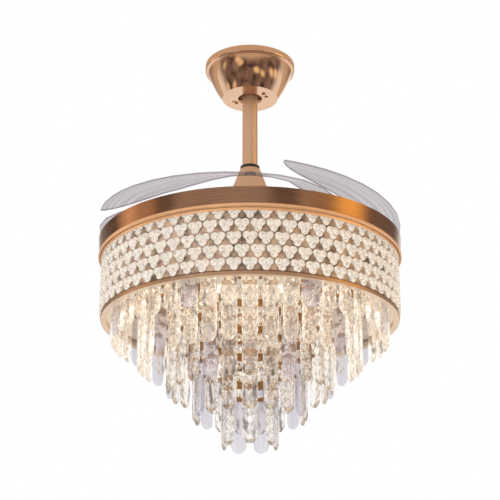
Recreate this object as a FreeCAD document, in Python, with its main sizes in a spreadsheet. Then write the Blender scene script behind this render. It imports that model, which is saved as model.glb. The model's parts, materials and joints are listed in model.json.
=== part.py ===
import FreeCAD, Part
import Sketcher
import math
import os
import re

# Chandelier ceiling fan: a canopy and a down rod carry a hollow fixed shaft. The motor's outer rotor
# turns on that shaft with four clear blades folded round its tray. The shaft's foot carries the drum
# light with its crystal band and its tiers of hanging prisms.
# The origin is on the ceiling, on the rod's axis. Z points up, so everything hangs below zero.

DIMENSIONS = {
    # canopy and hanger
    "canopy_height": 63, "canopy_rim_radius": 78, "canopy_rim_height": 9, "canopy_rim_roll": 4,
    "canopy_rim_step": 1, "canopy_bowl_round": 200,
    "canopy_plate_radius": 48, "canopy_wall": 1.2, "canopy_hole_radius": 21,
    "keyhole_radius": 29, "keyhole_azimuth": -36, "keyhole_length": 9, "keyhole_entry": 3.8,
    "canopy_screw_radius": 2, "canopy_screw_head": 3.3, "canopy_screw_cap": 2.4,
    "bracket_length": 112, "bracket_width": 38, "bracket_sheet": 2.5, "bracket_leg_spacing": 57,
    "bracket_disc_radius": 36, "ceiling_slot_spacing": 84, "ceiling_slot_width": 6.4,
    "ceiling_slot_length": 16, "terminal_length": 34, "terminal_width": 14, "terminal_height": 9,
    "ball_radius": 22, "ball_drop": 36, "ball_half_height": 15, "seat_clearance": 0.3,
    "seat_drop": 13, "hanger_pin_radius": 3,
    # rod and coupling
    "rod_radius": 13, "rod_wall": 2, "fit_clearance": 0.05, "collar_radius": 16.5, "collar_height": 6,
    "coupling_gap": 2, "coupling_height": 73, "coupling_top_radius": 17.5, "coupling_foot_radius": 44,
    "coupling_wall": 1.2, "access_width": 18, "access_height": 9, "access_drop": 16,
    "yoke_radius": 16, "yoke_lift": 8, "yoke_headroom": 10, "yoke_socket": 17,
    "bolt_radius": 4, "bolt_head_radius": 6, "bolt_head_height": 3,
    # fixed shaft and motor
    "shaft_radius": 8.5, "shaft_bore": 4.5, "shaft_foot": 14, "flange_radius": 34,
    "flange_thickness": 6, "stator_hub_radius": 30, "stator_radius": 69, "stator_height": 24,
    "tooth_count": 12, "tooth_width": 9, "coil_width": 15.5, "coil_height": 32, "coil_inset": 6,
    "stator_lift": 14, "magnet_gap": 1, "magnet_thickness": 6, "magnet_height": 32,
    "bearing_radius": 20, "bearing_height": 12, "boss_wall": 4, "housing_wall": 3,
    "housing_cup_height": 48, "housing_lid_height": 11, "housing_lid_bevel": 18, "housing_eye": 12,
    # blade carrier and folding blades
    "tray_gap": 1.5, "tray_thickness": 3, "tray_rim": 20, "tray_hole_radius": 30,
    "tray_screw_circle": 60, "tray_screw_radius": 2.5, "blade_count": 4,
    "pivot_inset": 105, "pivot_azimuth": 80, "pin_radius": 4, "pin_head_radius": 8.5,
    "pin_head_height": 2, "arm_gap": 0.5, "arm_sheet": 2, "arm_width": 24, "arm_length": 38,
    "hub_radius": 9, "hub_height": 12, "hub_floor": 4, "spring_radius": 6.5, "spring_gap": 0.3,
    "blade_screw_first": 16, "blade_screw_pitch": 14, "blade_screw_radius": 1.5,
    "blade_screw_head": 3, "blade_screw_cap": 1.5, "blade_thickness": 3, "blade_root_turn": 5,
    "blade_span_turn": 158, "blade_root_width": 30, "blade_width": 64,
    "blade_sweep_turn": 70, "blade_swell_turn": 40, "blade_round_turn": 126, "blade_tip_width": 7,
    "blade_tip_rise": 35.5, "blade_rise_power": 1.5, "blade_pitch": 22, "blade_tip_pitch": 7,
    "pitch_start_turn": 15, "pitch_full_turn": 60, "pitch_fall_turn": 78, "pitch_end_turn": 120,
    "blade_section_count": 13, "tip_section_count": 6,
    # drum light
    "drum_drop": 338, "drum_radius": 250, "band_height": 32, "band_wall": 1.2, "band_taper": 2,
    "lip_height": 6, "lip_round": 3.6, "cover_recess": 1.5, "cover_sheet": 1.5, "cover_gap": 0.3,
    "cover_screw_circle": 22, "cover_screw_radius": 2, "cover_screw_head": 4, "cover_screw_count": 4,
    "shade_inset": 10, "shade_wall": 1.5, "shade_drop": 129, "trim_overhang": 2, "trim_width": 9.5,
    "trim_height": 7, "lamp_plate_drop": 38.5, "lamp_plate_sheet": 1.5, "lamp_plate_hole": 10,
    "module_side": 24, "module_height": 4, "module_inner_share": 0.454, "module_inner_count": 6,
    "module_outer_share": 0.833, "module_outer_count": 12, "driver_length": 130, "driver_width": 46,
    "driver_height": 22, "driver_offset": 95, "control_length": 90,
    # crystals
    "trefoil_spacing": 23.5, "trefoil_rows": 5, "trefoil_pitch": 20.4, "trefoil_foot": 10.5,
    "trefoil_reach": 10.7, "trefoil_notch": 5.2, "lobe_half_turn": 22, "lobe_centre": 6.2,
    "trefoil_depth": 5.2, "trefoil_dip": 3.2, "trefoil_gap": 0.2,
    "prism_width": 26, "prism_thickness": 9, "prism_length": 88, "prism_round": 12,
    "prism_pitch": 29.2, "front_azimuth": -90, "bead_length": 24, "bead_width": 14,
    "tier_one_share": 0.925, "tier_one_drop": 175, "tier_two_share": 0.742, "tier_two_drop": 215,
    "tier_three_share": 0.542, "tier_three_drop": 256, "tier_four_share": 0.367,
    "tier_four_drop": 297, "tier_five_share": 0.175, "tier_five_drop": 340,
}
TIERS = ("one", "two", "three", "four", "five")
LOBES = 3

# Radii and levels, as formulas of the dimensions
PIVOT_RADIUS = "(drum_radius - pivot_inset)"
SHADE_RADIUS = "(drum_radius - shade_inset)"
TRIM_RADIUS = SHADE_RADIUS + " + trim_overhang"
BALL_CENTRE = "-ball_drop"
SEAT_LEVEL = "-ball_drop - seat_drop"
TRAY_BASE = "-drum_drop + tray_gap"
TRAY_TOP = TRAY_BASE + " + tray_thickness"
LID_BASE = TRAY_TOP + " + housing_cup_height"
HOUSING_TOP = LID_BASE + " + housing_lid_height"
COUPLING_BASE = HOUSING_TOP + " + coupling_gap"
COUPLING_TOP = COUPLING_BASE + " + coupling_height"
YOKE_BASE = COUPLING_BASE + " + yoke_lift"
ROD_BASE = YOKE_BASE + " + yoke_socket"
BOLT_LEVEL = COUPLING_TOP + " - access_drop"
YOKE_HEIGHT = "coupling_height - yoke_lift - yoke_headroom"
ARM_BASE = TRAY_TOP + " + arm_gap"
BLADE_TOP = ARM_BASE + " + arm_sheet + blade_thickness"
COVER_BASE = "-drum_drop - cover_recess - cover_sheet"
PLATE_BASE = "-drum_drop - lamp_plate_drop - lamp_plate_sheet"
SHADE_BASE = "-drum_drop - shade_drop"

doc = FreeCAD.newDocument("chandelier_fan")
sheet = doc.addObject("Spreadsheet::Sheet", "dims")
nodes = []


def fill_sheet():
    for row, (alias, number) in enumerate(DIMENSIONS.items(), start=1):
        sheet.set(f"A{row}", alias)
        sheet.set(f"B{row}", str(number))
        sheet.setAlias(f"B{row}", alias)
    doc.recompute()


def expression(formula):
    """The formula with each dimension read from the sheet."""
    return re.sub(r"[a-z]+(?:_[a-z]+)+", r"dims.\g<0>", formula)


def size(formula):
    return float(sheet.evalExpression(expression(formula)))


def bind(thing, place, formula):
    thing.setExpression(place, expression(formula))


def keep(thing, label):
    """Names a finished piece, which is then one of the part's nodes."""
    thing.Label = label
    nodes.append(thing)
    return thing


# Primitives bound to the sheet

def set_place(thing, x, y, z):
    bind(thing, "Placement.Base.x", x)
    bind(thing, "Placement.Base.y", y)
    bind(thing, "Placement.Base.z", z)


def cylinder(name, radius, height, z, x="0", y="0"):
    peg = doc.addObject("Part::Cylinder", name)
    bind(peg, "Radius", radius)
    bind(peg, "Height", height)
    set_place(peg, x, y, z)
    return peg


def cross_cylinder(name, radius, length, z):
    """A round bar across the axis, along Y, centred on the axis."""
    bar = doc.addObject("Part::Cylinder", name)
    bind(bar, "Radius", radius)
    bind(bar, "Height", length)
    bar.Placement.Rotation = FreeCAD.Rotation(FreeCAD.Vector(1, 0, 0), 90)
    set_place(bar, "0", f"({length}) / 2", z)
    return bar


def block(name, length, width, height, z, x="0", y="0"):
    """A box centred on (x, y), standing on z."""
    slab = doc.addObject("Part::Box", name)
    bind(slab, "Length", length)
    bind(slab, "Width", width)
    bind(slab, "Height", height)
    set_place(slab, f"{x} - ({length}) / 2", f"{y} - ({width}) / 2", z)
    return slab


def fuse(name, things):
    union = doc.addObject("Part::MultiFuse", name)
    union.Shapes = things
    return union


def group(name, things):
    bundle = doc.addObject("Part::Compound", name)
    bundle.Links = things
    return bundle


def cut(name, base, tools):
    result = doc.addObject("Part::Cut", name)
    result.Base = base
    result.Tool = tools[0] if len(tools) == 1 else fuse(name + "_cutters", tools)
    return result


def tube(name, outer, inner, height, z):
    return cut(name, cylinder(name + "_outside", outer, height, z),
               [cylinder(name + "_bore", inner, height, z)])


# Turned pieces

def hold(sketch, kind, axis, side, end, formula):
    """Fixes one coordinate of an end of a side of the section."""
    number = size(formula)
    if abs(number) < 1e-9:
        sketch.addConstraint(Sketcher.Constraint("PointOnObject", side, end, axis))
        return
    index = sketch.addConstraint(Sketcher.Constraint(kind, -1, 1, side, end, number))
    bind(sketch, f"Constraints[{index}]", formula)


def rounded_side(start, end, radius, outward):
    """An arc from start to end. Going round the section, outward ones turn left and inward ones right."""
    chord = end - start
    across = FreeCAD.Vector(-chord.y, chord.x, 0).normalize() * (1 if outward else -1)
    reach = math.sqrt(radius ** 2 - (chord.Length / 2) ** 2)
    centre = (start + end) / 2 + across * reach
    first, last = (start, end) if outward else (end, start)
    angles = [math.atan2(p.y - centre.y, p.x - centre.x) for p in (first, last)]
    return Part.ArcOfCircle(Part.Circle(centre, FreeCAD.Vector(0, 0, 1), radius), *angles)


def draw_section(sketch, points):
    """Draws a closed section from (x, y) corners, anticlockwise. A third entry rounds the side that
    starts there: its radius, then whether it bulges outward."""
    corners = [FreeCAD.Vector(size(point[0]), size(point[1]), 0) for point in points]
    starts = []
    for k, point in enumerate(points):
        end = corners[(k + 1) % len(corners)]
        if len(point) == 2:
            sketch.addGeometry(Part.LineSegment(corners[k], end))
            starts.append(1)
        else:
            radius, outward = point[2]
            sketch.addGeometry(rounded_side(corners[k], end, size(radius), outward))
            starts.append(1 if outward else 2)
    for k in range(len(corners)):
        after = (k + 1) % len(corners)
        sketch.addConstraint(Sketcher.Constraint("Coincident", k, 3 - starts[k], after, starts[after]))
    for k, point in enumerate(points):
        hold(sketch, "DistanceX", -2, k, starts[k], point[0])
        hold(sketch, "DistanceY", -1, k, starts[k], point[1])
        if len(point) == 3:
            index = sketch.addConstraint(Sketcher.Constraint("Radius", k, size(point[2][0])))
            bind(sketch, f"Constraints[{index}]", point[2][0])


def turned(name, base, points):
    """A piece turned about Z: half its section as (radius, height above base)."""
    body = doc.addObject("PartDesign::Body", name)
    bind(body, "Placement.Base.z", base)
    sketch = body.newObject("Sketcher::SketchObject", name + "_section")
    plane = next(p for p in body.Origin.OriginFeatures if p.Role == "XZ_Plane")
    sketch.AttachmentSupport = [(plane, "")]
    sketch.MapMode = "FlatFace"
    draw_section(sketch, points)
    turn = body.newObject("PartDesign::Revolution", name + "_turn")
    turn.Profile = sketch
    turn.ReferenceAxis = (sketch, ["V_Axis"])
    turn.Angle = 360
    return body


# Patterns round the axis

def ring_spots(radius, count, first="0"):
    """(x, y) formulas of points evenly spaced on a circle."""
    spots = []
    for k in range(count):
        angle = f"({first} + {360 * k / count})"
        spots.append((f"({radius}) * cos({angle})", f"({radius}) * sin({angle})"))
    return spots


def pegs(name, radius, height, z, spots):
    return [cylinder(f"{name}_{k}", radius, height, z, x, y) for k, (x, y) in enumerate(spots, start=1)]


def screws(name, spots, radius, length, head, cap, seat):
    """Pan head screws whose heads stand on the seat level and whose shanks go down."""
    made = []
    for k, (x, y) in enumerate(spots, start=1):
        shank = cylinder(f"{name}_shank_{k}", radius, length, f"{seat} - ({length})", x, y)
        top = cylinder(f"{name}_head_{k}", head, cap, seat, x, y)
        made.append(fuse(f"{name}_{k}", [shank, top]))
    return group(name, made)


def spun_copies(shape, count, first=0.0):
    """Copies of a shape, evenly turned about the axis."""
    copies = []
    for k in range(count):
        one = shape.copy()
        one.rotate(FreeCAD.Vector(0, 0, 0), FreeCAD.Vector(0, 0, 1), first + 360.0 * k / count)
        copies.append(one)
    return copies


def shaped(name, shape):
    thing = doc.addObject("Part::Feature", name)
    thing.Shape = shape
    return keep(thing, name)


# Ceiling mount

def build_hanger_bracket():
    leg_height = f"-({SEAT_LEVEL}) - bracket_sheet"
    plate = block("bracket_plate", "bracket_length", "bracket_width", "bracket_sheet", "-bracket_sheet")
    disc = cylinder("bracket_disc", "bracket_disc_radius", "bracket_sheet", SEAT_LEVEL)
    legs = [
        block(f"bracket_leg_{side}", "bracket_sheet", "bracket_width", leg_height, SEAT_LEVEL,
              f"{sign} * bracket_leg_spacing / 2")
        for side, sign in (("left", -1), ("right", 1))
    ]
    blank = fuse("bracket_blank", [plate, disc] + legs)
    seat = doc.addObject("Part::Cone", "ball_seat")
    bind(seat, "Radius1", "sqrt(ball_radius^2 - seat_drop^2) + seat_clearance")
    bind(seat, "Radius2", "sqrt(ball_radius^2 - (seat_drop - bracket_sheet)^2) + seat_clearance")
    bind(seat, "Height", "bracket_sheet")
    bind(seat, "Placement.Base.z", SEAT_LEVEL)
    cutters = [seat]
    straight = "ceiling_slot_length - ceiling_slot_width"
    for side, sign in (("left", -1), ("right", 1)):
        middle = f"{sign} * ceiling_slot_spacing / 2"
        cutters.append(block(f"ceiling_slot_{side}", straight, "ceiling_slot_width", "bracket_sheet",
                             "-bracket_sheet", middle))
        for end, shift in (("near", -1), ("far", 1)):
            cutters.append(cylinder(f"ceiling_slot_{side}_{end}", "ceiling_slot_width / 2",
                                    "bracket_sheet", "-bracket_sheet",
                                    f"{middle} + {shift} * ({straight}) / 2"))
    cutters += pegs("canopy_screw_hole", "canopy_screw_radius", "bracket_sheet", SEAT_LEVEL,
                    ring_spots("keyhole_radius", 2, "keyhole_azimuth"))
    keep(cut("bracket_finished", blank, cutters), "hanger_bracket")


def build_canopy():
    rim_foot = "canopy_height - canopy_rim_height"
    roll_foot = rim_foot + " - canopy_rim_roll"
    roll_radius = "canopy_rim_radius - canopy_rim_roll"
    bowl_radius = roll_radius + " - canopy_rim_step"
    blank = turned("canopy_shell", "-canopy_height", [
        ("canopy_hole_radius", "0"),
        ("canopy_plate_radius", "0", ("canopy_bowl_round", True)),
        (bowl_radius, roll_foot),
        (roll_radius, roll_foot, ("canopy_rim_roll", True)),
        ("canopy_rim_radius", rim_foot),
        ("canopy_rim_radius", "canopy_height"),
        (bowl_radius + " - canopy_wall", "canopy_height"),
        (bowl_radius + " - canopy_wall", roll_foot, ("canopy_bowl_round - canopy_wall", False)),
        ("canopy_plate_radius - canopy_wall", "canopy_wall"),
        ("canopy_hole_radius", "canopy_wall"),
    ])
    cutters = []
    for k in range(2):
        azimuth = f"(keyhole_azimuth + {180 * k})"
        x = f"keyhole_radius * cos({azimuth})"
        y = f"keyhole_radius * sin({azimuth})"
        reach = "(keyhole_length / keyhole_radius * 180 / pi)"
        entry_x = f"keyhole_radius * cos({azimuth} + {reach})"
        entry_y = f"keyhole_radius * sin({azimuth} + {reach})"
        slot = doc.addObject("Part::Box", f"keyhole_slot_{k + 1}")
        bind(slot, "Length", "2 * canopy_screw_radius + 2 * cover_gap")
        bind(slot, "Width", "keyhole_length")
        bind(slot, "Height", "canopy_wall")
        slot.Placement.Rotation = FreeCAD.Rotation(FreeCAD.Vector(0, 0, 1), 1)
        bind(slot, "Placement.Rotation.Angle", f"{azimuth} + {reach} / 2")
        half = "(canopy_screw_radius + cover_gap)"
        lean = f"({azimuth} + {reach} / 2)"
        set_place(slot, f"{x} - {half} * cos({lean})", f"{y} - {half} * sin({lean})", "-canopy_height")
        cutters.append(slot)
        cutters.append(cylinder(f"keyhole_end_{k + 1}", "canopy_screw_radius + cover_gap", "canopy_wall",
                                "-canopy_height", x, y))
        cutters.append(cylinder(f"keyhole_entry_{k + 1}", "keyhole_entry", "canopy_wall",
                                "-canopy_height", entry_x, entry_y))
    keep(cut("canopy_finished", blank, cutters), "canopy")


def build_canopy_screws():
    made = []
    spots = ring_spots("keyhole_radius", 2, "keyhole_azimuth")
    length = f"canopy_height + ({SEAT_LEVEL}) + bracket_sheet"
    for k, (x, y) in enumerate(spots, start=1):
        shank = cylinder(f"canopy_shank_{k}", "canopy_screw_radius", length, "-canopy_height", x, y)
        head = cylinder(f"canopy_head_{k}", "canopy_screw_head", "canopy_screw_cap",
                        "-canopy_height - canopy_screw_cap", x, y)
        made.append(fuse(f"canopy_screw_{k}", [shank, head]))
    keep(group("canopy_screw_pair", made), "canopy_screws")


def build_terminal_block():
    keep(block("terminal_strip", "terminal_length", "terminal_width", "terminal_height",
               "-bracket_sheet - terminal_height"), "terminal_block")


# Rod and coupling

def build_hanger_ball():
    half_width = "sqrt(ball_radius^2 - ball_half_height^2)"
    blank = turned("ball_blank", "-ball_drop - ball_half_height", [
        ("rod_radius", "0"),
        (half_width, "0", ("ball_radius", True)),
        (half_width, "2 * ball_half_height"),
        ("rod_radius", "2 * ball_half_height"),
    ])
    hole = cross_cylinder("ball_cross_hole", "hanger_pin_radius", "2 * ball_radius", BALL_CENTRE)
    keep(cut("ball_finished", blank, [hole]), "hanger_ball")


def build_downrod():
    length = f"{BALL_CENTRE} + ball_half_height - ({ROD_BASE})"
    pipe = tube("rod_pipe", "rod_radius", "rod_radius - rod_wall", length, ROD_BASE)
    holes = [cross_cylinder("rod_pin_hole", "hanger_pin_radius", "3 * rod_radius", BALL_CENTRE),
             cross_cylinder("rod_bolt_hole", "bolt_radius", "3 * rod_radius", BOLT_LEVEL)]
    keep(cut("rod_finished", pipe, holes), "downrod")
    keep(cross_cylinder("ball_pin", "hanger_pin_radius", "2 * ball_radius - 2 * hanger_pin_radius",
                        BALL_CENTRE), "hanger_pin")


def build_coupling():
    keep(tube("collar_ring", "collar_radius", "rod_radius + fit_clearance", "collar_height", COUPLING_TOP),
         "rod_collar")
    cone = turned("coupling_cone", COUPLING_BASE, [
        ("coupling_foot_radius - coupling_wall", "0"),
        ("coupling_foot_radius", "0"),
        ("coupling_top_radius", "coupling_height"),
        ("rod_radius + fit_clearance", "coupling_height"),
        ("rod_radius + fit_clearance", "coupling_height - coupling_wall"),
        ("coupling_top_radius - coupling_wall", "coupling_height - coupling_wall"),
    ])
    window = block("access_window", "access_width", "coupling_foot_radius", "access_height",
                   f"{BOLT_LEVEL} - access_height / 2", "0", "-coupling_foot_radius / 2")
    keep(cut("coupling_finished", cone, [window]), "coupling_cover")
    blank = turned("yoke_blank", YOKE_BASE, [
        ("shaft_radius", "0"),
        ("yoke_radius", "0"),
        ("yoke_radius", YOKE_HEIGHT),
        ("rod_radius", YOKE_HEIGHT),
        ("rod_radius", "yoke_socket"),
        ("shaft_radius", "yoke_socket"),
    ])
    hole = cross_cylinder("yoke_bolt_hole", "bolt_radius", "3 * yoke_radius", BOLT_LEVEL)
    keep(cut("yoke_finished", blank, [hole]), "coupling_yoke")


def build_coupling_bolt():
    """A hexagon bolt through yoke and rod along Y, with its nut at the back."""
    shank = cross_cylinder("bolt_shank", "bolt_radius", "2 * yoke_radius", BOLT_LEVEL)
    ends = []
    for name, front in (("bolt_head", "-yoke_radius"), ("bolt_nut", "yoke_radius + bolt_head_height")):
        hexagon = doc.addObject("Part::Prism", name)
        hexagon.Polygon = 6
        bind(hexagon, "Circumradius", "bolt_head_radius")
        bind(hexagon, "Height", "bolt_head_height")
        hexagon.Placement.Rotation = FreeCAD.Rotation(FreeCAD.Vector(1, 0, 0), 90)
        set_place(hexagon, "0", front, BOLT_LEVEL)
        ends.append(hexagon)
    keep(fuse("bolt_and_nut", [shank] + ends), "coupling_bolt")


# Fixed shaft, stator and rotor

def cover_screw_spots():
    return ring_spots("cover_screw_circle", int(size("cover_screw_count")))


def build_motor_shaft():
    length = f"{ROD_BASE} - ({COVER_BASE}) + shaft_foot"
    keep(tube("shaft_pipe", "shaft_radius", "shaft_bore", length, f"{COVER_BASE} - shaft_foot"),
         "motor_shaft")
    foot = f"{COVER_BASE} - flange_thickness"
    cutters = [cylinder("flange_bore", "shaft_radius", "flange_thickness", foot)]
    cutters += pegs("flange_screw_hole", "cover_screw_radius", "flange_thickness", foot, cover_screw_spots())
    disc = cylinder("flange_disc", "flange_radius", "flange_thickness", foot)
    keep(cut("flange_finished", disc, cutters), "shaft_flange")


def build_stator():
    """A core with straight teeth, and a coil round each tooth."""
    hub = Part.makeCylinder(size("stator_hub_radius"), size("stator_height"))
    tooth = Part.makeBox(size("stator_radius"), size("tooth_width"), size("stator_height"),
                         FreeCAD.Vector(0, -size("tooth_width") / 2, 0))
    count = int(size("tooth_count"))
    bore = Part.makeCylinder(size("shaft_radius"), size("stator_height"))
    core = hub.multiFuse(spun_copies(tooth, count)).removeSplitter().cut(bore)
    inner = size("stator_hub_radius + coil_inset")
    overhang = size("(coil_height - stator_height) / 2")
    coil = Part.makeBox(size("stator_radius - coil_inset") - inner, size("coil_width"), size("coil_height"),
                        FreeCAD.Vector(inner, -size("coil_width") / 2, -overhang)).cut(tooth)
    level = FreeCAD.Vector(0, 0, size(TRAY_TOP + " + stator_lift"))
    shaped("stator_core", core.translated(level))
    shaped("stator_coils", Part.makeCompound(spun_copies(coil.translated(level), count)))


def tray_screw_spots():
    return ring_spots("tray_screw_circle", int(size("blade_count")))


def build_rotor_housing():
    wall_radius = "stator_radius + magnet_gap + magnet_thickness"
    outside = wall_radius + " + housing_wall"
    boss = "bearing_radius + boss_wall"
    cup = turned("housing_cup", TRAY_TOP, [
        ("bearing_radius", "0"),
        (outside, "0"),
        (outside, "housing_cup_height"),
        (wall_radius, "housing_cup_height"),
        (wall_radius, "housing_wall"),
        (boss, "housing_wall"),
        (boss, "bearing_height"),
        ("bearing_radius", "bearing_height"),
    ])
    screw_holes = pegs("housing_screw_hole", "tray_screw_radius", "housing_wall", TRAY_TOP,
                       tray_screw_spots())
    keep(cut("cup_finished", cup, screw_holes), "rotor_housing_bottom")
    keep(turned("housing_lid", LID_BASE, [
        ("bearing_radius", "0"),
        (outside, "0"),
        (outside, "housing_wall"),
        (outside + " - housing_lid_bevel", "housing_lid_height"),
        ("housing_eye", "housing_lid_height"),
        ("housing_eye", "bearing_height - housing_wall"),
        ("bearing_radius", "bearing_height - housing_wall"),
    ]), "rotor_housing_top")
    keep(tube("magnet_band", wall_radius, "stator_radius + magnet_gap", "magnet_height",
              f"{TRAY_TOP} + stator_lift + (stator_height - magnet_height) / 2"), "magnet_ring")
    eye = "shaft_radius + fit_clearance"
    lower = tube("lower_bearing", "bearing_radius", eye, "bearing_height", TRAY_TOP)
    upper = tube("upper_bearing", "bearing_radius", eye, "bearing_height", f"{LID_BASE} - housing_wall")
    keep(group("bearing_pair", [lower, upper]), "bearings")


# Blade carrier

def pivot_spots():
    return ring_spots(PIVOT_RADIUS, int(size("blade_count")), "pivot_azimuth")


def build_blade_tray():
    disc = cylinder("tray_disc", f"{PIVOT_RADIUS} + tray_rim", "tray_thickness", TRAY_BASE)
    cutters = [cylinder("tray_hole", "tray_hole_radius", "tray_thickness", TRAY_BASE)]
    cutters += pegs("tray_pin_hole", "pin_radius", "tray_thickness", TRAY_BASE, pivot_spots())
    cutters += pegs("tray_screw_hole", "tray_screw_radius", "tray_thickness", TRAY_BASE, tray_screw_spots())
    keep(cut("tray_finished", disc, cutters), "blade_tray")
    keep(group("tray_screw_set", pegs("tray_screw", "tray_screw_radius", "tray_thickness + housing_wall",
                                      TRAY_BASE, tray_screw_spots())), "tray_screws")


def build_pivots():
    length = f"{ARM_BASE} + hub_height + spring_gap - ({TRAY_BASE})"
    keep(screws("pivot_pin", pivot_spots(), "pin_radius", length, "pin_head_radius", "pin_head_height",
                f"({TRAY_BASE}) + ({length})"), "pivot_pins")
    made = []
    for k, (x, y) in enumerate(pivot_spots(), start=1):
        height = "hub_height - hub_floor - spring_gap"
        base = f"{ARM_BASE} + hub_floor + spring_gap"
        outside = cylinder(f"spring_outside_{k}", "spring_radius", height, base, x, y)
        inside = cylinder(f"spring_inside_{k}", "pin_radius + spring_gap", height, base, x, y)
        made.append(cut(f"spring_{k}", outside, [inside]))
    keep(group("spring_set", made), "return_springs")


def screw_reach(k):
    return f"(-blade_screw_first - {k} * blade_screw_pitch)"


def build_arm_blank():
    """The arm of a blade whose pivot is on the X axis: a hub on the pin and a plate under the root."""
    hub = cylinder("arm_hub", "hub_radius", "hub_height", ARM_BASE, PIVOT_RADIUS)
    plate = block("arm_plate", "arm_width", "arm_length", "arm_sheet", ARM_BASE, PIVOT_RADIUS,
                  "-arm_length / 2")
    cutters = [
        cylinder("arm_bore", "pin_radius + fit_clearance", "hub_height", ARM_BASE, PIVOT_RADIUS),
        cylinder("arm_pocket", "spring_radius + spring_gap", "hub_height - hub_floor",
                 f"{ARM_BASE} + hub_floor", PIVOT_RADIUS),
    ]
    cutters += pegs("arm_screw_hole", "blade_screw_radius", "arm_sheet", ARM_BASE,
                    [(PIVOT_RADIUS, screw_reach(k)) for k in range(2)])
    return cut("arm_blank", fuse("arm_body", [hub, plate]), cutters)


def smooth_step(share):
    share = min(max(share, 0.0), 1.0)
    return share * share * (3 - 2 * share)


def blade_edges(turn):
    """Radius and height of the blade's outer and inner top edges, a given turn past the pivot."""
    span = size("blade_span_turn")
    root = size(PIVOT_RADIUS + " + blade_root_width / 2")
    sweep = smooth_step(turn / size("blade_sweep_turn"))
    outer = root + (size("drum_radius") - root) * sweep
    width = size("blade_root_width")
    width += size("blade_width - blade_root_width") * smooth_step(turn / size("blade_swell_turn"))
    rounding = size("blade_round_turn")
    if turn > rounding:
        width *= math.sqrt(max(0.0, 1 - ((turn - rounding) / (span - rounding)) ** 2))
        width = max(width, size("blade_tip_width"))
    height = size(BLADE_TOP) + size("blade_tip_rise") * (turn / span) ** size("blade_rise_power")
    ramp = (turn - size("pitch_start_turn")) / size("pitch_full_turn - pitch_start_turn")
    fall = (turn - size("pitch_fall_turn")) / size("pitch_end_turn - pitch_fall_turn")
    pitch = size("blade_pitch") * smooth_step(ramp)
    pitch -= size("blade_pitch - blade_tip_pitch") * smooth_step(fall)
    return (outer, height), (outer - width, height + width * math.tan(math.radians(pitch)))


def blade_turns():
    """Places of the blade's sections: even steps, closing up round the tip."""
    root = size("blade_root_turn")
    rounding = size("blade_round_turn")
    tip = size("blade_span_turn")
    count = int(size("blade_section_count"))
    tip_count = int(size("tip_section_count"))
    turns = [root + (rounding - root) * k / count for k in range(count)]
    quarter = [math.sin(math.pi / 2 * k / tip_count) for k in range(tip_count + 1)]
    return turns + [rounding + (tip - rounding) * share for share in quarter]


def build_blade_blank():
    """The blade whose pivot is on the X axis, lofted along the drum's rim, clockwise seen from above."""
    sections = []
    thickness = size("blade_thickness")
    for turn in blade_turns():
        (outer, outer_z), (inner, inner_z) = blade_edges(turn)
        angle = math.radians(-turn)
        corners = [(outer, outer_z), (inner, inner_z), (inner, inner_z - thickness),
                   (outer, outer_z - thickness)]
        points = [FreeCAD.Vector(r * math.cos(angle), r * math.sin(angle), z) for r, z in corners]
        sections.append(Part.makePolygon(points + points[:1]))
    blade = Part.makeLoft(sections, True, True)
    base = size(BLADE_TOP) - 2 * thickness
    for k in range(2):
        spot = FreeCAD.Vector(size(PIVOT_RADIUS), size(screw_reach(k)), base)
        blade = blade.cut(Part.makeCylinder(size("blade_screw_radius"), 4 * thickness, spot))
    return blade


def blade_top_at(reach):
    """Height of the blade's top at a screw, a little way along from the pivot."""
    turn = math.degrees(math.atan2(-size(reach), size(PIVOT_RADIUS)))
    (outer, outer_z), (inner, inner_z) = blade_edges(turn)
    place = math.hypot(size(PIVOT_RADIUS), size(reach))
    return inner_z + (outer_z - inner_z) * (place - inner) / (outer - inner)


def blade_screw_shapes():
    made = []
    for k in range(2):
        top = blade_top_at(screw_reach(k)) + size("spring_gap")
        foot = size(ARM_BASE)
        spot = FreeCAD.Vector(size(PIVOT_RADIUS), size(screw_reach(k)), foot)
        shank = Part.makeCylinder(size("blade_screw_radius"), top - foot, spot)
        spot.z = top
        head = Part.makeCylinder(size("blade_screw_head"), size("blade_screw_cap"), spot)
        made.append(shank.fuse(head).removeSplitter())
    return Part.makeCompound(made)


def build_blades():
    arm = build_arm_blank()
    doc.recompute()
    blanks = {"blade_arm": arm.Shape, "blade": build_blade_blank(), "blade_screws": blade_screw_shapes()}
    count = int(size("blade_count"))
    for k in range(count):
        spin = FreeCAD.Rotation(FreeCAD.Vector(0, 0, 1), size("pivot_azimuth") - 360.0 * k / count)
        for name, shape in blanks.items():
            piece = shaped(f"{name}_{k + 1}", shape.copy())
            piece.Placement = FreeCAD.Placement(FreeCAD.Vector(0, 0, 0), spin)


# Drum light

def build_drum():
    lean = "band_taper * (cover_recess + cover_sheet) / band_height"
    disc = cylinder("cover_disc", f"drum_radius - band_wall - {lean} - cover_gap", "cover_sheet", COVER_BASE)
    spots = cover_screw_spots()
    cutters = [cylinder("cover_hole", "shaft_radius", "cover_sheet", COVER_BASE)]
    cutters += pegs("cover_screw_hole", "cover_screw_radius", "cover_sheet", COVER_BASE, spots)
    keep(cut("cover_finished", disc, cutters), "drum_top_cover")
    keep(screws("cover_screw", spots, "cover_screw_radius", "cover_sheet + flange_thickness",
                "cover_screw_head", "cover_recess", f"{COVER_BASE} + cover_sheet"), "cover_screws")
    foot = "drum_radius - band_taper"
    keep(turned("band_shell", "-drum_drop - band_height", [
        (foot + " - band_wall", "0"),
        (foot, "0", ("lip_round", True)),
        (foot, "lip_height"),
        ("drum_radius", "band_height"),
        ("drum_radius - band_wall", "band_height"),
    ]), "drum_band")


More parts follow.
